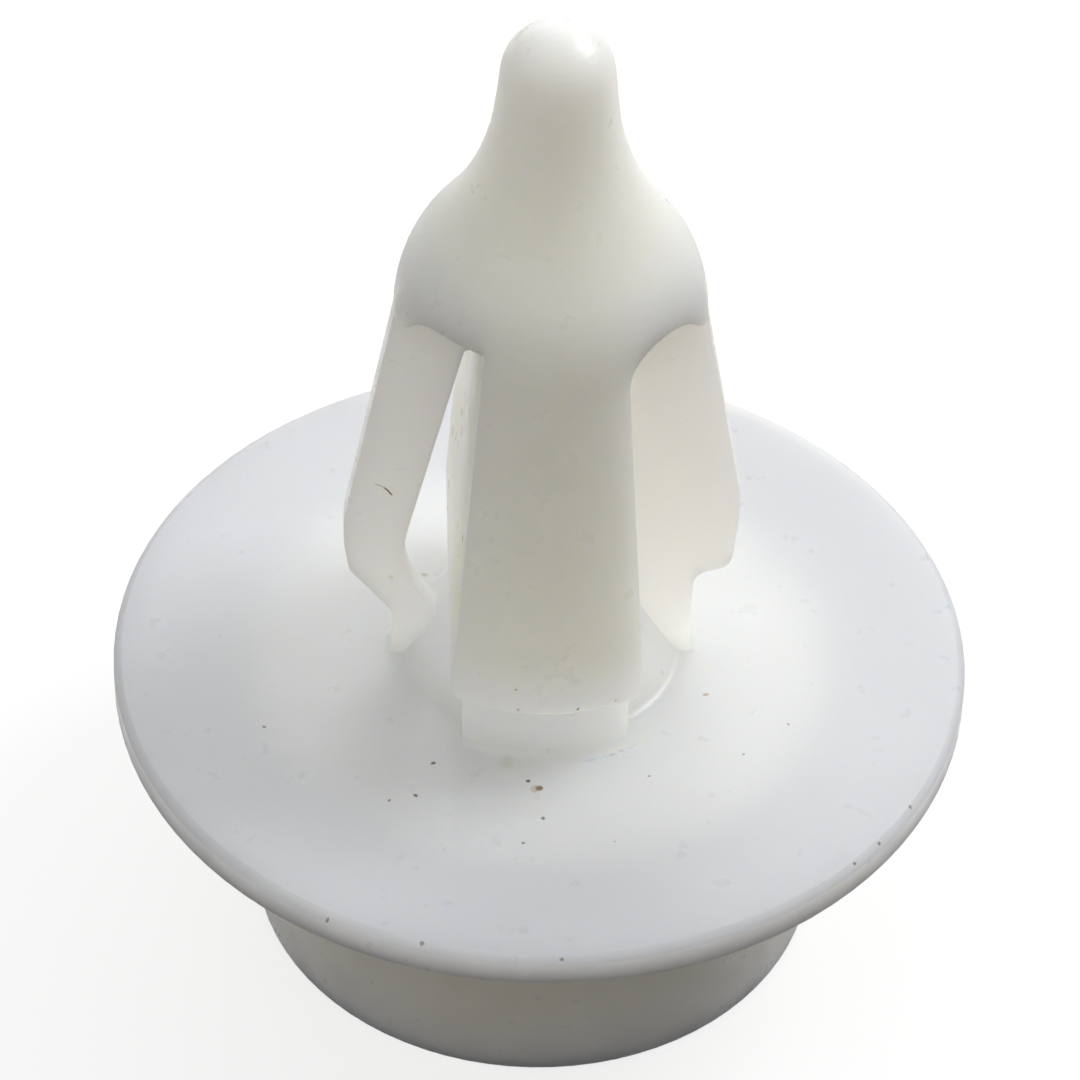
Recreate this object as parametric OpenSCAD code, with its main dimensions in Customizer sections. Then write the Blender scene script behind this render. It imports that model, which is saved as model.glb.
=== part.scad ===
// Push-in panel fastener, moulded in one piece: a drum head that it stands on, a thin seating
// flange, a ribbed neck and a snap shank with two guide faces, a spring arm, a fixed wing and a
// pilot nose. The axis is Z, the head's foot lies at z = 0, and the arm lies on the -X side.

/* [Head] */
// Diameter of the head at its foot
head_d = 13.55; // [11:0.05:17]
// Height of the head, from its foot to the underside of the flange
head_h = 6.6; // [4.5:0.05:9]
// Draft of the head's side, in degrees
head_draft = 1; // [0:0.25:4]
// Rounding of the head's lower edge
head_edge_r = 0.15; // [0.05:0.05:0.6]
// Wall around the recess in the head's underside
head_wall = 1.5; // [1:0.1:2.2]
// Material between the recess and the flange's seating face
head_roof = 1.7; // [1.2:0.1:2.6]
// Rounding where the recess wall meets its roof
recess_r = 0.6; // [0.2:0.1:1.2]

/* [Flange] */
// Diameter of the seating flange
flange_d = 20; // [18:0.5:26]
// Thickness of the flange
flange_t = 0.85; // [0.8:0.05:1.5]
// Bevel around the rim's upper edge
flange_bevel = 0.18; // [0.1:0.02:0.3]
// Rounding of the rim's lower edge
flange_edge_r = 0.1; // [0.05:0.05:0.25]

/* [Neck] */
// Diameter over the feet of the spring arm and the fixed wing, which stand in the panel's hole
neck_d = 7; // [6.4:0.1:7.6]
// Diameter over the neck's front and back ribs
rib_d = 7.5; // [6.6:0.1:7.8]
// Width of the neck's front and back ribs
rib_w = 3.8; // [2.8:0.1:4]
// Diameter of the neck's tapered stem at the seating face
stem_d_low = 6.4; // [5.4:0.1:6.6]
// Diameter of the stem where it meets the foot of the guide faces
stem_d_top = 4.2; // [3.6:0.1:4.8]
// Height of the neck, from the seating face to the foot of the guide faces
neck_h = 1.85; // [1.2:0.05:2.6]
// Fillet where the neck meets the seating face
neck_fillet = 0.25; // [0.1:0.05:0.35]

/* [Wings] */
// Reach of the spring arm from the axis at its widest
arm_reach = 4.6; // [4.45:0.01:4.9]
// Reach of the fixed wing from the axis at its widest
wing_reach = 4.47; // [4.4:0.01:4.9]
// Thickness of arm and wing
wing_t = 0.6; // [0.5:0.05:1.2]
// Height of the spring arm's shoulder corner above the foot of the guide faces
arm_shoulder_z = 0.8; // [0.7:0.05:0.95]
// Angle of the spring arm's shoulder above the horizontal, in degrees
arm_angle = 53; // [35:1:56]
// Height of the fixed wing's shoulder corner above the foot of the guide faces
wing_shoulder_z = 0.85; // [0.7:0.05:1.2]
// Angle of the fixed wing's shoulder above the horizontal, in degrees
wing_angle = 15; // [10:1:45]
// How far the shoulder's outer corner draws in from the widest band
shoulder_tuck = 0.12; // [0:0.02:0.2]
// Rounding of the shoulder's outer corner
shoulder_r = 0.45; // [0.05:0.05:0.6]
// Fillet between the shoulder and the neck
shoulder_fillet = 0.45; // [0.1:0.05:0.6]
// Height of the arm's widest band above the foot of the guide faces, at its middle
arm_band_z = 2; // [1.9:0.1:3]
// Height of the wing's widest band above the foot of the guide faces, at its middle
wing_band_z = 2.7; // [2.2:0.1:3.5]
// Height of the widest band
band_h = 0.7; // [0.6:0.1:1]
// Rounding where the widest band meets the flare above it and the side below it
band_r = 2.4; // [0.5:0.1:2.6]

/* [Spring arm] */
// Width of the arm at its bend, between the slot and its outer edge
arm_w = 1.2; // [0.9:0.05:1.5]
// Width of the slot at its top
slot_w = 0.2; // [0.1:0.02:0.4]
// Distance from the slot's top to the foot of the nose
slot_drop = 1; // [0.5:0.05:1.6]
// Height of the arm's bend above the foot of the guide faces
bend_z = 0.85; // [0.8:0.05:1.8]
// Rounding of the slot at the arm's bend
bend_r = 2.8; // [0.4:0.1:3]
// Diameter on which the slot ends, inside the stem
slot_end_d = 4; // [3:0.1:4.4]
// Height of the slot's lower end above the seating face
slot_end_z = 0.65; // [0.4:0.05:1.2]

/* [Core] */
// Diameter over the two guide faces at their foot
guide_d = 8.6; // [8:0.05:8.8]
// Width of a guide face at its foot
core_w_low = 4.4; // [3.6:0.1:4.8]
// Width of a guide face under the nose
core_w_top = 3.1; // [2.6:0.05:3.5]
// Height of a guide face's upright lower part
guide_h = 2.1; // [1.6:0.1:3]
// Rounding of a guide face's lower corners
core_corner_r = 0.35; // [0.1:0.05:0.6]
// Rounding of a guide face's lower edge
guide_edge_r = 0.1; // [0.05:0.05:0.4]
// Fillet between core and nose on the fixed wing's side
core_fillet = 0.8; // [0.3:0.1:1]

/* [Nose] */
// Diameter of the nose at its foot
nose_d = 6.95; // [6.6:0.05:7.4]
// Height of the nose's foot above the foot of the guide faces
nose_z = 8.47; // [7.6:0.01:10]
// Radius of the nose's ogive
ogive_r = 3.74; // [3.6:0.02:4.2]
// Height of the solid nose's underside above the nose's foot
ceiling_z = 1.1; // [1:0.02:1.4]
// How far inside the nose's foot its underside turns down towards the rim
eave_in = 0.65; // [0.5:0.05:0.9]
// Fall of the underside at the rim, in degrees
eave_angle = 58; // [45:1:70]
// Rounding where the underside turns down
eave_r = 0.7; // [0.3:0.05:0.8]
// Diameter of the pilot where it leaves the ogive
pilot_d = 2.59; // [2.5:0.01:2.8]
// Length of the pilot above the nose's foot
pilot_z = 7.64; // [7.4:0.02:8.2]
// Half angle of the pilot's taper, in degrees
pilot_taper = 5.8; // [4:0.2:7]
// Diameter of the small flat on the pilot's round tip
tip_flat = 0.4; // [0.1:0.1:0.8]
// Fillet of the flare where the pilot leaves the ogive
pilot_fillet = 6.4; // [5:0.1:7]

/* [Hidden] */
$fn = 96;

NYLON = [0.90, 0.90, 0.86];
// Largest gap between an arc and its chords, and the largest angle of one chord
ARC_GAP = 0.004;
ARC_STEP = 15;
// Largest share of the room beside it that a fillet takes
FILLET_SHARE = 0.9;

head_r = head_d / 2;
rim_r = flange_d / 2;
neck_r = neck_d / 2;
rib_r = rib_d / 2;
nose_r = nose_d / 2;
guide_r = guide_d / 2;
pilot_r = pilot_d / 2;

seat_z = head_h + flange_t;
sink_z = seat_z - flange_t / 2;
ledge_z = seat_z + neck_h;
foot_z = ledge_z + nose_z;
roof_z = foot_z + ceiling_z;
tip_z = foot_z + pilot_z;
// The neck's stem and ribs run this far up into the core
root_z = ledge_z + core_corner_r;
// Distances that lie safely inside the core, and safely outside the shank
inner = core_w_top / 4;
reach = 2 * arm_reach;

function unit(v) = v / norm(v);
function xz(p) = [p[0], p[1]];
function direction(v) = atan2(v[1], v[0]);

// Half the width of the core at height z
function core_half_w(z) =
    core_w_low / 2 + (core_w_top - core_w_low) / 2 * (z - ledge_z) / (roof_z - ledge_z);

// Points of an arc about c, from one angle to the other
function arc(c, r, from, to) =
    let (step = min(ARC_STEP, 2 * acos(1 - ARC_GAP / r)), n = ceil(abs(to - from) / step))
    [for (i = [0 : n]) let (t = from + (to - from) * i / n) c + r * [cos(t), sin(t)]];

// Points of the corner b of the path a, b, c, rounded or filleted by r, or kept sharp at 0
function corner(a, b, c, r) =
    r == 0 ? [b] :
    let (u = unit(a - b), v = unit(c - b), half = acos(u * v) / 2,
         centre = b + unit(u + v) * r / sin(half),
         from = direction(b + u * r / tan(half) - centre),
         turn = (cross(u, v) < 0 ? 1 : -1) * (180 - 2 * half))
    arc(centre, r, from, from + turn);

// A closed outline through corners [x, z, radius]
function soft(corners) =
    let (n = len(corners))
    [for (i = [0 : n - 1])
        each corner(xz(corners[(i + n - 1) % n]), xz(corners[i]), xz(corners[(i + 1) % n]),
                    corners[i][2])];

// An outline drawn in X and Z, raised along Y through the whole shank
module along_y() {
    translate([0, reach, 0]) rotate([90, 0, 0]) linear_extrude(2 * reach) children();
}

// The drum head with its coring recess and the seating flange, turned as one body
module base() {
    roof = seat_z - head_roof;
    recess_r_foot = head_r - head_wall;
    recess_r_top = recess_r_foot - roof * tan(head_draft);
    rotate_extrude()
        polygon(soft([
            [recess_r_foot, 0, 0], [head_r, 0, head_edge_r],
            [head_r + head_h * tan(head_draft), head_h, 0],
            [rim_r, head_h, flange_edge_r], [rim_r, seat_z - flange_bevel, 0],
            [rim_r - flange_bevel, seat_z, 0], [0, seat_z, 0], [0, roof, 0],
            [recess_r_top, roof, recess_r]]));
}

// Corners of a post of radius r: its root in the flange and the fillet on the seating face
function post_foot(r) = [
    [0, sink_z, 0], [r + 2 * neck_fillet, sink_z, 0], [r + 2 * neck_fillet, seat_z, 0],
    [r, seat_z, neck_fillet]];

// The neck under the guide faces: a tapered stem with a rib on its front and back
module neck() {
    low = stem_d_low / 2;
    top = stem_d_top / 2;
    root = top + (top - low) / neck_h * core_corner_r;
    rotate_extrude()
        polygon(soft(concat(post_foot(low), [[root, root_z, 0], [0, root_z, 0]])));
    intersection() {
        rotate_extrude()
            polygon(soft(concat(post_foot(rib_r), [[rib_r, root_z, 0], [0, root_z, 0]])));
        translate([-rib_w / 2, -reach, 0]) cube([rib_w, 2 * reach, tip_z]);
    }
}

// Turned outline of the guide faces, the ogive nose and the pilot with its round tip
function core_profile() =
    let (ogive_c = [nose_r - ogive_r, foot_z],
         blend_x = pilot_r + pilot_fillet,
         blend_z = foot_z + sqrt(pow(ogive_r + pilot_fillet, 2) - pow(blend_x - ogive_c[0], 2)),
         blend_c = [blend_x, blend_z],
         meet = direction(blend_c - ogive_c),
         side = blend_c * [cos(pilot_taper), sin(pilot_taper)] - pilot_fillet,
         tip_r = (side - tip_z * sin(pilot_taper)) / (1 - sin(pilot_taper)),
         tip_c = [0, tip_z - tip_r],
         flat = acos(tip_flat / 2 / tip_r),
         guide = soft([[0, foot_z, 0], [0, ledge_z, 0], [guide_r, ledge_z, guide_edge_r],
                       [guide_r, ledge_z + guide_h, band_r], [nose_r, foot_z, 0]]))
    concat(
        [for (p = guide) if (p[1] < foot_z) p],
        arc(ogive_c, ogive_r, 0, meet),
        arc(blend_c, pilot_fillet, meet + 180, pilot_taper + 180),
        arc(tip_c, tip_r, pilot_taper, flat),
        [tip_c + [0, tip_r * sin(flat)]]);

// The solid nose above the pockets, with eaves that turn down towards its rim, and the core
// between the pockets that carries the guide faces
module core() {
    low = core_half_w(ledge_z);
    top = core_half_w(roof_z);
    eave_x = nose_r - eave_in;
    eave_end = roof_z - (reach - eave_x) * tan(eave_angle);
    room = eave_x - eave_r * tan(eave_angle / 2) - top;
    fillet = min(core_fillet, FILLET_SHARE * room);
    intersection() {
        rotate_extrude() polygon(core_profile());
        union() {
            along_y()
                polygon(soft([
                    [-low, ledge_z, core_corner_r], [low, ledge_z, core_corner_r],
                    [top, roof_z, fillet], [eave_x, roof_z, eave_r], [reach, eave_end, 0],
                    [reach, tip_z + reach, 0], [-reach, tip_z + reach, 0],
                    [-reach, eave_end, 0], [-eave_x, roof_z, eave_r], [-top, roof_z, 0]]));
            translate([-reach, -wing_t / 2, foot_z]) cube([2 * reach, wing_t, tip_z]);
        }
    }
}

// Half of the plate in the axis plane, on the +X side: its foot in the neck, the locking shoulder
// with its corner at the height and angle given, the widest band and the flare up to the nose
module half_plate(widest_r, shoulder_z, angle, band_z) {
    corner_r = widest_r - shoulder_tuck;
    corner_z = ledge_z + shoulder_z;
    foot = corner_z - (corner_r - neck_r) * tan(angle);
    band_low_z = ledge_z + band_z - band_h / 2;
    // Both roundings of the shoulder shrink together where they would not fit on it
    taken = (shoulder_r + shoulder_fillet) * tan((90 - angle) / 2);
    ease = min(1, FILLET_SHARE * (corner_r - neck_r) / cos(angle) / taken);
    intersection() {
        rotate_extrude()
            polygon(soft(concat(post_foot(neck_r), [
                [neck_r, foot, ease * shoulder_fillet], [corner_r, corner_z, ease * shoulder_r],
                [widest_r, band_low_z, band_r], [widest_r, band_low_z + band_h, band_r],
                [nose_r, foot_z, 0], [0, foot_z, 0]])));
        translate([inner, -wing_t / 2, 0]) cube([reach, wing_t, tip_z]);
    }
}

// The spring arm on the -X side, with the slot that frees it from the core between its ends
module spring_arm() {
    top_z = foot_z - slot_drop;
    end_z = seat_z + slot_end_z;
    difference() {
        rotate([0, 0, 180]) half_plate(arm_reach, arm_shoulder_z, arm_angle, arm_band_z);
        along_y()
            polygon(soft([
                [0, top_z, 0], [-core_half_w(top_z) - slot_w, top_z, slot_w / 2],
                [arm_w - arm_reach, ledge_z + bend_z, bend_r], [-slot_end_d / 2, end_z, 0],
                [0, end_z, 0]]));
    }
}

module rivet_pin() {
    color(NYLON)
        union() {
            base();
            neck();
            core();
            spring_arm();
            half_plate(wing_reach, wing_shoulder_z, wing_angle, wing_band_z);
        }
}

rivet_pin();
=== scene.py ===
"""Looks of a push-in panel fastener, moulded in one piece of natural nylon, around its frame."""
import logging
import math
from dataclasses import dataclass
from enum import Enum

import bmesh
import bpy
from mathutils import Matrix, Vector

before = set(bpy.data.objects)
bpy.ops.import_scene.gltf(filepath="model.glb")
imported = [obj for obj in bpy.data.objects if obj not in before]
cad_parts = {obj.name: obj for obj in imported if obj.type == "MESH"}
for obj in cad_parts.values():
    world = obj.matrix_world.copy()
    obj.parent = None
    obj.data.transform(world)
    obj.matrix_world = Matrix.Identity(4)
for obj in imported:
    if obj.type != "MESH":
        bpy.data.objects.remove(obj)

LOG = logging.getLogger("rivet_pin")
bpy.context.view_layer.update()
MM = 0.001
SEAT_MM = 7.45
NOSE_MM = 17.8
PLATE_FACE_MM = -0.3
Colour = tuple[float, float, float]
Place = tuple[float, float, float]
Band = tuple[float, float]
Socket = bpy.types.NodeSocket
SEEN_RAYS = ("Is Camera Ray", "Is Glossy Ray", "Is Transmission Ray")


class GrimeAndPaintedGlint(Enum):
    """The colours of the dirt on the part, and the white of a painted glint."""

    SOOT = (0.05, 0.045, 0.045)
    DUST = (0.21, 0.18, 0.17)
    BROWN = (0.16, 0.075, 0.03)
    RUST = (0.50, 0.34, 0.17)
    STAIN = (0.52, 0.47, 0.33)
    # Painted highlight: plain white, laid on the beads and along the scratch on the arm.
    PAINTED_GLINT = (1.0, 1.0, 1.0)


@dataclass(frozen=True)
class Speck:
    """A grain of dirt: its place and radius in mm, its colour and how thickly it covers."""

    place: Place
    radius: float
    grime_and_painted_glint: GrimeAndPaintedGlint
    cover: float = 0.9


@dataclass(frozen=True)
class Bead:
    """A tiny shiny bead of flash, its colour lifted to white as a painted glint: its place and radius in
    mm.
    """

    place: Place
    radius: float


@dataclass(frozen=True)
class Hairline:
    """A fine line along points of the surface, with its places and width in mm."""

    places: tuple[Place, ...]
    width: float
    grime_and_painted_glint: GrimeAndPaintedGlint
    cover: float = 0.9


class Shader:
    """A material's node tree, with short ways to add and link its nodes."""

    def __init__(self, name: str) -> None:
        """Start an empty material.

        Args:
            name: The material's name.
        """
        self.material = bpy.data.materials.new(name)
        self.material.use_nodes = True
        self.tree = self.material.node_tree
        self.tree.nodes.clear()

    def add(self, kind: str, **settings: object) -> bpy.types.Node:
        """Add one node.

        Args:
            kind: The node's type name.
            **settings: Properties to set on it.

        Returns:
            The new node.
        """
        node = self.tree.nodes.new(kind)
        for key, value in settings.items():
            setattr(node, key, value)
        return node

    def link(self, source: Socket, target: Socket) -> None:
        """Link an output socket to an input socket."""
        self.tree.links.new(source, target)

    def feed(self, value: object, target: Socket) -> None:
        """Set an input to a number or colour, or link it to a socket."""
        if isinstance(value, Socket):
            self.link(value, target)
        elif value is not None:
            target.default_value = value

    def math(self, operation: str, first: object, second: object = None,
             clamp: bool = False) -> Socket:
        """Add a Math node.

        Args:
            operation: Its operation.
            first: A socket or a number.
            second: A socket or a number, if the operation takes two.
            clamp: Whether the result is kept between 0 and 1.

        Returns:
            The node's output socket.
        """
        node = self.add("ShaderNodeMath", operation=operation, use_clamp=clamp)
        for index, value in enumerate((first, second)):
            self.feed(value, node.inputs[index])
        return node.outputs[0]

    def vector(self, operation: str, *values: object) -> bpy.types.Node:
        """Add a Vector Math node.

        Args:
            operation: Its operation.
            *values: Its inputs in order, each a socket or a vector.

        Returns:
            The node, because some operations give a number and others a vector.
        """
        node = self.add("ShaderNodeVectorMath", operation=operation)
        for index, value in enumerate(values):
            self.feed(value, node.inputs[index])
        return node

    def noise(self, coords: Socket, scale: float, detail: float, roughness: float = 0.5) -> Socket:
        """Add a Noise Texture on the coordinates given, with its scale per metre."""
        node = self.add("ShaderNodeTexNoise")
        node.inputs["Scale"].default_value = scale
        node.inputs["Detail"].default_value = detail
        node.inputs["Roughness"].default_value = roughness
        self.link(coords, node.inputs["Vector"])
        return node.outputs["Fac"]

    def spread(self, value: Socket, low: float, high: float, to_low: float = 0.0,
               to_high: float = 1.0) -> Socket:
        """Map a value from one range to another, smoothly and clamped."""
        node = self.add("ShaderNodeMapRange", interpolation_type="SMOOTHSTEP", clamp=True)
        for index, number in enumerate((low, high, to_low, to_high)):
            node.inputs[index + 1].default_value = number
        self.link(value, node.inputs[0])
        return node.outputs[0]

    def mix(self, share: object, first: object, second: object) -> Socket:
        """Mix two colours.

        Args:
            share: The share of the second colour, a socket or a number.
            first: A colour or a socket.
            second: A colour or a socket.

        Returns:
            The mixed colour's socket.
        """
        node = self.add("ShaderNodeMix", data_type="RGBA")
        self.feed(share, node.inputs[0])
        for value, target in ((first, node.inputs[6]), (second, node.inputs[7])):
            self.feed(value if isinstance(value, Socket) else (*value, 1.0), target)
        return node.outputs[2]


@dataclass(frozen=True)
class NylonFinish:
    """Natural nylon: milky and translucent, clear in thin plates, warm where thick, satin and soiled; the
    thin plates and the neck are painted lighter as painted light, the head darker as painted shade, and
    the beads and one scratch carry a painted glint.

    Scales are per metre. The bands give, in mm from the seat, the nose's foot or the middle plane,
    where one colour passes into another.
    """

    flange: Colour = (0.906, 0.904, 0.857)
    # Painted light: the neck is coloured lighter, where the recess under the leg lies in shade.
    neck_with_painted_light: Colour = (0.985, 0.985, 0.97)
    # Painted light: the thin plates are coloured lighter, as if lit through from behind.
    plate_with_painted_light: Colour = (0.985, 0.982, 0.957)
    core: Colour = (0.945, 0.92, 0.825)
    # Warm tone of the thick head, darkened further as painted shade under the flange.
    head_with_painted_shade: Colour = (0.79, 0.73, 0.62)
    cloudy: Colour = (0.86, 0.845, 0.79)
    roughness_low: float = 0.27
    roughness_high: float = 0.42
    bead_polish: float = 0.8
    scatter_mm: float = 4.5
    scatter_tint: Colour = (1.0, 0.9, 0.72)
    ior: float = 1.53
    edge_mm: float = 0.05
    bead_mm: float = 0.05
    neck_band: Band = (0.1, 1.2)
    leg_band: Band = (1.6, 3.6)
    head_band: Band = (-1.6, -0.5)
    depth_band: Band = (0.32, 0.8)
    nose_band: Band = (-1.2, 1.0)
    skin_scale: float = 1500.0
    cloud_scale: float = 130.0
    cloud_share: float = 0.4
    grain_scale: float = 3800.0
    grain_share: float = 0.35
    ripple_scale: float = 520.0
    relief_strength: float = 0.06
    relief_mm: float = 0.10
    wobble_scale: float = 5200.0
    sway_mm: float = 0.06
    speck_edge: Band = (0.5, 1.2)
    hair_edge: Band = (0.3, 0.7)
    seat_mm: float = SEAT_MM
    nose_mm: float = NOSE_MM
    specks: tuple[Speck, ...] = ()
    hairlines: tuple[Hairline, ...] = ()
    beads: tuple[Bead, ...] = ()

    def material(self) -> bpy.types.Material:
        """Make the finish as a material.

        Returns:
            The nylon material.
        """
        shader = Shader("natural_nylon")
        coords = shader.add("ShaderNodeTexCoord").outputs["Object"]
        colour = self.milk_with_painted_light(shader, coords)
        colour = self.soil_and_painted_glint(shader, coords, colour)
        beading = self.beading(shader, coords)
        # Painted highlight: the beads' colour is lifted to white, on top of their real bumps and polish.
        colour = shader.mix(beading, colour, GrimeAndPaintedGlint.PAINTED_GLINT.value)
        bsdf = shader.add("ShaderNodeBsdfPrincipled", subsurface_method="RANDOM_WALK")
        shader.link(colour, bsdf.inputs["Base Color"])
        bsdf.inputs["Subsurface Weight"].default_value = 1.0
        bsdf.inputs["Subsurface Scale"].default_value = self.scatter_mm * MM
        bsdf.inputs["Subsurface Radius"].default_value = self.scatter_tint
        bsdf.inputs["IOR"].default_value = self.ior
        skin = shader.spread(shader.noise(coords, self.skin_scale, 4.0, 0.6), 0.3, 0.7,
                             self.roughness_low, self.roughness_high)
        polish = shader.math("SUBTRACT", 1.0, shader.math("MULTIPLY", beading, self.bead_polish))
        shader.link(shader.math("MULTIPLY", skin, polish), bsdf.inputs["Roughness"])
        shader.link(self.relief(shader, coords, beading), bsdf.inputs["Normal"])
        out = shader.add("ShaderNodeOutputMaterial")
        shader.link(bsdf.outputs[0], out.inputs["Surface"])
        return shader.material

    def milk_with_painted_light(self, shader: Shader, coords: Socket) -> Socket:
        """Colour the clean nylon: warm in the core and head, softly clouded, with painted light making
        the thin plates and the neck lighter and painted shade making the head darker.

        Args:
            shader: The material's shader.
            coords: Object coordinates.

        Returns:
            The clean colour's socket.
        """
        place = shader.add("ShaderNodeSeparateXYZ")
        shader.link(coords, place.inputs[0])
        height = place.outputs["Z"]
        above = self.fade(shader, height, self.seat_mm, self.neck_band)
        leg = self.fade(shader, height, self.seat_mm, self.leg_band)
        below = self.fade(shader, height, self.seat_mm, self.head_band, 1.0, 0.0)
        depth = self.fade(shader, shader.math("ABSOLUTE", place.outputs["Y"]), 0.0, self.depth_band)
        nose = self.fade(shader, height, self.nose_mm, self.nose_band)
        solid = shader.math("MULTIPLY", leg, shader.math("MAXIMUM", depth, nose))
        # Painted light on the neck and thin plates, painted shade on the head; the core keeps the warm
        # tone of the thick parts.
        colour = shader.mix(above, self.flange, self.neck_with_painted_light)
        colour = shader.mix(leg, colour, self.plate_with_painted_light)
        colour = shader.mix(solid, colour, self.core)
        colour = shader.mix(below, colour, self.head_with_painted_shade)
        cloud = shader.spread(shader.noise(coords, self.cloud_scale, 1.0), 0.35, 0.8, 0.0,
                              self.cloud_share)
        return shader.mix(cloud, colour, self.cloudy)

    @staticmethod
    def fade(shader: Shader, value: Socket, start: float, band: Band, to_low: float = 0.0,
             to_high: float = 1.0) -> Socket:
        """Pass smoothly from one number to another across a band.

        Args:
            shader: The material's shader.
            value: A length, in metres.
            start: Where the band is counted from, in mm.
            band: The band's two ends, in mm from there.
            to_low: The number before the band.
            to_high: The number after it.

        Returns:
            The number's socket.
        """
        low, high = ((start + end) * MM for end in band)
        return shader.spread(value, low, high, to_low, to_high)

    def beading(self, shader: Shader, coords: Socket) -> Socket:
        """Mark the beads, as domes that rise from 0 at their edge to 1.

        Args:
            shader: The material's shader.
            coords: Object coordinates.

        Returns:
            The domes' socket.
        """
        domes = shader.math("MULTIPLY", 0.0, 1.0)
        for bead in self.beads:
            gap = shader.vector("DISTANCE", coords, [c * MM for c in bead.place]).outputs["Value"]
            domes = shader.math("MAXIMUM", domes, shader.spread(gap, 0.0, bead.radius * MM, 1.0, 0.0))
        return domes

    def relief(self, shader: Shader, coords: Socket, beading: Socket) -> Socket:
        """Round the edges, raise the beads and give the skin its fine moulded relief.

        Args:
            shader: The material's shader.
            coords: Object coordinates.
            beading: The beads' domes.

        Returns:
            The normal's socket.
        """
        edge = shader.add("ShaderNodeBevel", samples=6)
        edge.inputs["Radius"].default_value = self.edge_mm * MM
        grain = shader.noise(coords, self.grain_scale, 3.0, 0.6)
        ripple = shader.noise(coords, self.ripple_scale, 2.0)
        height = shader.math("ADD", shader.math("MULTIPLY", grain, self.grain_share), ripple)
        bump = shader.add("ShaderNodeBump")
        bump.inputs["Strength"].default_value = self.relief_strength
        bump.inputs["Distance"].default_value = self.relief_mm * MM
        shader.link(height, bump.inputs["Height"])
        shader.link(edge.outputs[0], bump.inputs["Normal"])
        domes = shader.add("ShaderNodeBump")
        domes.inputs["Distance"].default_value = self.bead_mm * MM
        shader.link(beading, domes.inputs["Height"])
        shader.link(bump.outputs[0], domes.inputs["Normal"])
        return domes.outputs[0]

    def soil_and_painted_glint(self, shader: Shader, coords: Socket, colour: Socket) -> Socket:
        """Lay the specks and hairlines over a colour: dirt, and one hairline of painted highlight.

        Args:
            shader: The material's shader.
            coords: Object coordinates.
            colour: The clean colour.

        Returns:
            The soiled colour's socket.
        """
        wobble = shader.add("ShaderNodeTexNoise")
        wobble.inputs["Scale"].default_value = self.wobble_scale
        shader.link(coords, wobble.inputs["Vector"])
        sway = self.sway_mm * MM
        bent = shader.vector("MULTIPLY_ADD", wobble.outputs["Color"], (2 * sway,) * 3, (-sway,) * 3)
        bent = shader.vector("ADD", coords, bent.outputs[0]).outputs[0]
        for speck in self.specks:
            gap = shader.vector("DISTANCE", bent, [c * MM for c in speck.place]).outputs["Value"]
            inner, outer = (edge * speck.radius * MM for edge in self.speck_edge)
            share = shader.spread(gap, inner, outer, speck.cover, 0.0)
            colour = shader.mix(share, colour, speck.grime_and_painted_glint.value)
        for line in self.hairlines:
            for start, end in zip(line.places, line.places[1:]):
                gap = self.gap_to_line(shader, coords, Vector(start) * MM, Vector(end) * MM)
                inner, outer = (edge * line.width * MM for edge in self.hair_edge)
                share = shader.spread(gap, inner, outer, line.cover, 0.0)
                colour = shader.mix(share, colour, line.grime_and_painted_glint.value)
        return colour

    @staticmethod
    def gap_to_line(shader: Shader, coords: Socket, start: Vector, end: Vector) -> Socket:
        """Measure how far a point lies from the line between two others.

        Args:
            shader: The material's shader.
            coords: Object coordinates of the point.
            start: One end of the line, in metres.
            end: Its other end.

        Returns:
            The distance's socket.
        """
        run = end - start
        arm = shader.vector("SUBTRACT", coords, start).outputs[0]
        share = shader.vector("DOT_PRODUCT", arm, run / run.length_squared).outputs["Value"]
        share = shader.math("MINIMUM", shader.math("MAXIMUM", share, 0.0), 1.0)
        near = shader.add("ShaderNodeVectorMath", operation="SCALE")
        near.inputs[0].default_value = run
        shader.link(share, near.inputs["Scale"])
        return shader.vector("DISTANCE", arm, near.outputs[0]).outputs["Value"]


def on_seat(radius: float, bearing: float, height: float = SEAT_MM) -> Place:
    """Place a point on the flange.

    Args:
        radius: Its distance from the axis, in mm.
        bearing: Its angle from +X, in degrees.
        height: The height there, in mm.

    Returns:
        The point, in mm.
    """
    turn = math.radians(bearing)
    return radius * math.cos(turn), radius * math.sin(turn), height


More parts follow.
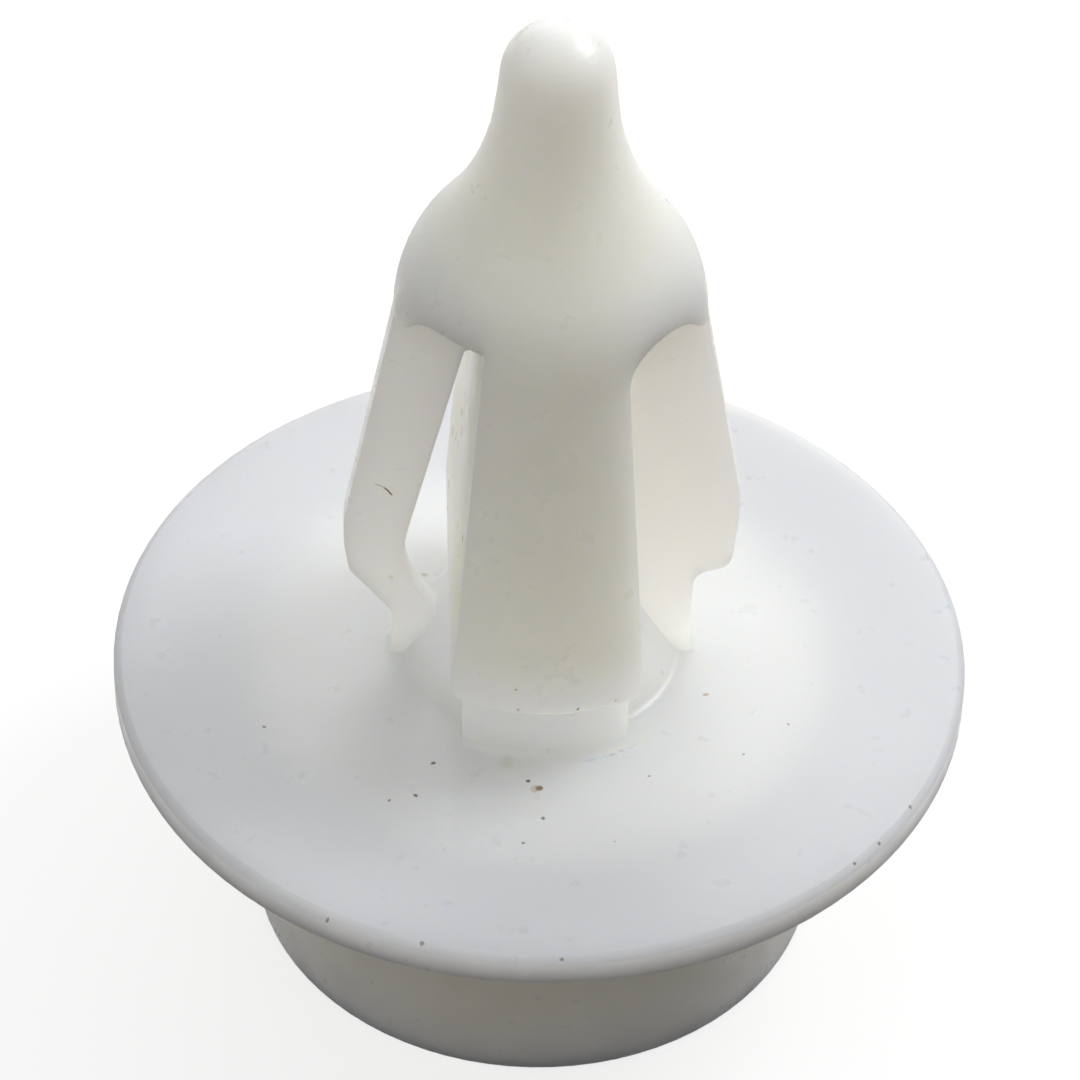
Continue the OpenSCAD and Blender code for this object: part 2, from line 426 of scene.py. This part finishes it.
DIRT = (
    Speck(on_seat(4.55, -95), 0.055, GrimeAndPaintedGlint.SOOT),
    Speck(on_seat(4.76, -92), 0.09, GrimeAndPaintedGlint.BROWN),
    Speck(on_seat(4.80, -93), 0.13, GrimeAndPaintedGlint.RUST, 0.45),
    Speck(on_seat(5.7, -91), 0.05, GrimeAndPaintedGlint.DUST),
    Speck(on_seat(6.5, -95), 0.05, GrimeAndPaintedGlint.DUST),
    Speck(on_seat(4.7, -123), 0.06, GrimeAndPaintedGlint.SOOT),
    Speck(on_seat(5.8, -121), 0.06, GrimeAndPaintedGlint.SOOT),
    Speck(on_seat(6.25, -125), 0.04, GrimeAndPaintedGlint.DUST),
    Speck(on_seat(7.0, -157), 0.05, GrimeAndPaintedGlint.DUST),
    Speck(on_seat(5.0, -62), 0.04, GrimeAndPaintedGlint.DUST),
    Speck(on_seat(6.6, -77), 0.03, GrimeAndPaintedGlint.DUST, 0.6),
    Speck(on_seat(4.2, -25), 0.06, GrimeAndPaintedGlint.RUST, 0.8),
    Speck(on_seat(6.3, -26), 0.035, GrimeAndPaintedGlint.DUST, 0.7),
    Speck(on_seat(5.9, -39), 0.035, GrimeAndPaintedGlint.DUST, 0.7),
    Speck(on_seat(4.05, -103), 0.20, GrimeAndPaintedGlint.STAIN, 0.18),
    Speck(on_seat(9.87, -33, 7.40), 0.06, GrimeAndPaintedGlint.DUST),
    Speck(on_seat(9.89, -41, 7.38), 0.06, GrimeAndPaintedGlint.DUST),
    Speck(on_seat(9.89, -46, 7.38), 0.05, GrimeAndPaintedGlint.DUST),
    Speck(on_seat(9.88, -107, 7.39), 0.07, GrimeAndPaintedGlint.DUST),
    Speck(on_seat(9.97, -120, 7.30), 0.06, GrimeAndPaintedGlint.DUST),
    Speck(on_seat(9.91, -89, 7.36), 0.05, GrimeAndPaintedGlint.DUST),
    Speck(on_seat(4.3, -99, 9.46), 0.045, GrimeAndPaintedGlint.SOOT),
    Speck(on_seat(4.3, -81, 9.48), 0.05, GrimeAndPaintedGlint.SOOT),
    Speck(on_seat(4.3, -69, 9.48), 0.04, GrimeAndPaintedGlint.SOOT),
    Speck(on_seat(4.3, -100, 10.07), 0.045, GrimeAndPaintedGlint.STAIN),
    Speck((-3.51, PLATE_FACE_MM, 9.87), 0.06, GrimeAndPaintedGlint.RUST, 0.55),
    Speck(on_seat(3.56, 139), 0.09, GrimeAndPaintedGlint.STAIN, 0.5),
)

BEADS = tuple(Bead(on_seat(radius, bearing), 0.09) for radius, bearing in (
    (4.05, -76), (4.05, -74), (4.04, -70), (4.04, -67), (4.03, -64), (4.03, -61), (4.02, -59)))


def on_arm(across: float, height: float) -> Place:
    """Place a point on the front face of the spring arm.

    Args:
        across: Its place along X, in mm.
        height: Its height, in mm.

    Returns:
        The point, in mm.
    """
    return across, PLATE_FACE_MM, height


HAIRS = (
    Hairline((on_arm(-3.87, 12.78), on_arm(-3.78, 12.74), on_arm(-3.65, 12.65)), 0.03, GrimeAndPaintedGlint.DUST, 0.7),
    Hairline((on_arm(-3.65, 12.65), on_arm(-3.58, 12.57), on_arm(-3.50, 12.45)), 0.045, GrimeAndPaintedGlint.SOOT, 0.95),
    # Painted highlight: a white line along the scratch, beside its dark stroke.
    Hairline((on_arm(-3.69, 12.61), on_arm(-3.62, 12.52), on_arm(-3.54, 12.41)), 0.035, GrimeAndPaintedGlint.PAINTED_GLINT, 0.8),
)


@dataclass
class RivetPin:
    """The fastener itself, one moulded piece."""

    node: str = "rivet_pin"
    finish: NylonFinish = NylonFinish(specks=DIRT, hairlines=HAIRS, beads=BEADS)

    def build(self) -> bpy.types.Object:
        """Take the moulded body from the frame.

        Returns:
            The node's object.
        """
        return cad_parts[self.node]

    def dress(self, piece: bpy.types.Object) -> None:
        """Give the body its finish.

        Args:
            piece: The body's object.
        """
        material = self.finish.material()
        for slot in piece.material_slots:
            slot.material = material


@dataclass(frozen=True)
class Lamp:
    """A square soft lamp: its direction in degrees, its distance and side in metres, its power."""

    name: str
    bearing: float
    height: float
    distance: float
    size: float
    watts: float
    colour: Colour = (1.0, 1.0, 1.0)

    def hang(self, aim: Vector) -> None:
        """Hang the lamp so that it faces a point.

        Args:
            aim: The point, in metres.
        """
        data = bpy.data.lights.new(self.name, "AREA")
        data.shape = "SQUARE"
        data.size = self.size
        data.energy = self.watts
        data.color = self.colour
        turn, rise = math.radians(self.bearing), math.radians(self.height)
        away = Vector((math.cos(turn) * math.cos(rise), math.sin(turn) * math.cos(rise),
                       math.sin(rise)))
        lamp = bpy.data.objects.new(self.name, data)
        lamp.rotation_euler = (-away).to_track_quat("-Z", "Y").to_euler()
        lamp.location = aim + away * self.distance
        bpy.context.scene.collection.objects.link(lamp)


@dataclass
class Studio:
    """Pale floor, soft lamps and dim room around the part."""

    floor_m: float = 1.2
    floor_dim: Colour = (0.07, 0.05, 0.035)
    floor_soft: Colour = (0.30, 0.30, 0.30)
    floor_glow: float = 0.76
    aim: Place = (0.0, 0.0, 0.012)
    room_low: float = 0.37
    room_high: float = 0.28
    room_rise: float = 0.7
    room_colour: Colour = (1.0, 1.0, 0.985)
    lamps: tuple[Lamp, ...] = (
        Lamp("key", 20.0, 45.0, 0.2, 0.09, 0.225),
        Lamp("back", 90.0, 35.0, 0.2, 0.24, 0.22),
        Lamp("fill", -135.0, 45.0, 0.2, 0.24, 0.11),
    )

    def build(self) -> None:
        """Make the floor, the lamps and the world."""
        mesh = bpy.data.meshes.new("floor")
        bm = bmesh.new()
        bmesh.ops.create_grid(bm, x_segments=1, y_segments=1, size=self.floor_m / 2)
        bm.to_mesh(mesh)
        bm.free()
        floor = bpy.data.objects.new("floor", mesh)
        bpy.context.scene.collection.objects.link(floor)
        mesh.materials.append(self.floor_finish())
        for lamp in self.lamps:
            lamp.hang(Vector(self.aim))
        self.light_room()

    def light_room(self) -> None:
        """Light the room softly, a little dimmer from above, and show it white to the camera."""
        world = bpy.data.worlds.new("room")
        world.use_nodes = True
        tree = world.node_tree
        background = tree.nodes["Background"]
        background.inputs["Color"].default_value = (*self.room_colour, 1.0)
        place = tree.nodes.new("ShaderNodeSeparateXYZ")
        tree.links.new(tree.nodes.new("ShaderNodeTexCoord").outputs["Generated"], place.inputs[0])
        rise = tree.nodes.new("ShaderNodeMapRange")
        rise.interpolation_type = "SMOOTHSTEP"
        for index, number in enumerate((0.0, self.room_rise, self.room_low, self.room_high)):
            rise.inputs[index + 1].default_value = number
        tree.links.new(place.outputs["Z"], rise.inputs[0])
        rays = tree.nodes.new("ShaderNodeLightPath")
        strength = rise.outputs[0]
        for ray in SEEN_RAYS:
            white = tree.nodes.new("ShaderNodeMath")
            white.operation = "MAXIMUM"
            tree.links.new(strength, white.inputs[0])
            tree.links.new(rays.outputs[ray], white.inputs[1])
            strength = white.outputs[0]
        tree.links.new(strength, background.inputs["Strength"])
        bpy.context.scene.world = world

    def floor_finish(self) -> bpy.types.Material:
        """Make the floor: pale to the eye, and dim in the light that it throws back.

        Returns:
            The floor's material.
        """
        shader = Shader("pale_floor")
        rays = shader.add("ShaderNodeLightPath")
        seen = rays.outputs[SEEN_RAYS[0]]
        for ray in SEEN_RAYS[1:]:
            seen = shader.math("ADD", seen, rays.outputs[ray], clamp=True)
        dim = shader.add("ShaderNodeBsdfDiffuse")
        dim.inputs["Color"].default_value = (*self.floor_dim, 1.0)
        soft = shader.add("ShaderNodeBsdfDiffuse")
        soft.inputs["Color"].default_value = (*self.floor_soft, 1.0)
        glow = shader.add("ShaderNodeEmission")
        glow.inputs["Strength"].default_value = self.floor_glow
        pale = shader.add("ShaderNodeAddShader")
        shader.link(soft.outputs[0], pale.inputs[0])
        shader.link(glow.outputs[0], pale.inputs[1])
        both = shader.add("ShaderNodeMixShader")
        shader.link(seen, both.inputs[0])
        shader.link(dim.outputs[0], both.inputs[1])
        shader.link(pale.outputs[0], both.inputs[2])
        out = shader.add("ShaderNodeOutputMaterial")
        shader.link(both.outputs[0], out.inputs["Surface"])
        return shader.material


@dataclass
class PhotoCamera:
    """The camera at the photograph's place: distances in mm, angles in degrees."""

    target: Place = (-0.075, 0.0, 10.74)
    distance: float = 110.0
    azimuth: float = -3.0
    elevation: float = 42.957
    roll: float = 1.8
    focal_px: float = 4774.5
    frame_px: float = 1080.0
    near_m: float = 0.01
    far_m: float = 10.0

    def build(self) -> bpy.types.Object:
        """Make the camera and give it to the scene.

        Returns:
            The camera's object.
        """
        side, rise = math.radians(self.azimuth), math.radians(self.elevation)
        away = Vector((math.sin(side) * math.cos(rise), -math.cos(side) * math.cos(rise),
                       math.sin(rise)))
        right = Vector((math.cos(side), math.sin(side), 0.0))
        up = away.cross(right)
        turn = math.radians(self.roll)
        right, up = (right * math.cos(turn) + up * math.sin(turn),
                     up * math.cos(turn) - right * math.sin(turn))
        data = bpy.data.cameras.new("photo_camera")
        data.sensor_fit = "HORIZONTAL"
        data.angle = 2.0 * math.atan(self.frame_px / 2.0 / self.focal_px)
        data.clip_start = self.near_m
        data.clip_end = self.far_m
        camera = bpy.data.objects.new("photo_camera", data)
        place = (Vector(self.target) + away * self.distance) * MM
        camera.matrix_world = Matrix.Translation(place) @ Matrix(
            (right, up, away)).transposed().to_4x4()
        bpy.context.scene.collection.objects.link(camera)
        bpy.context.scene.camera = camera
        return camera


def main() -> None:
    """Dress the part, set the stage and note its size."""
    logging.basicConfig(level=logging.INFO, format="%(name)s: %(message)s")
    pin = RivetPin()
    body = pin.build()
    pin.dress(body)
    LOG.info("%s dressed, %d faces", body.name, len(body.data.polygons))
    Studio().build()
    LOG.info("floor, lamps and room set")
    camera = PhotoCamera().build()
    LOG.info("%s placed", camera.name)
    bpy.context.scene.view_settings.view_transform = "Standard"


if __name__ == "__main__":
    main()
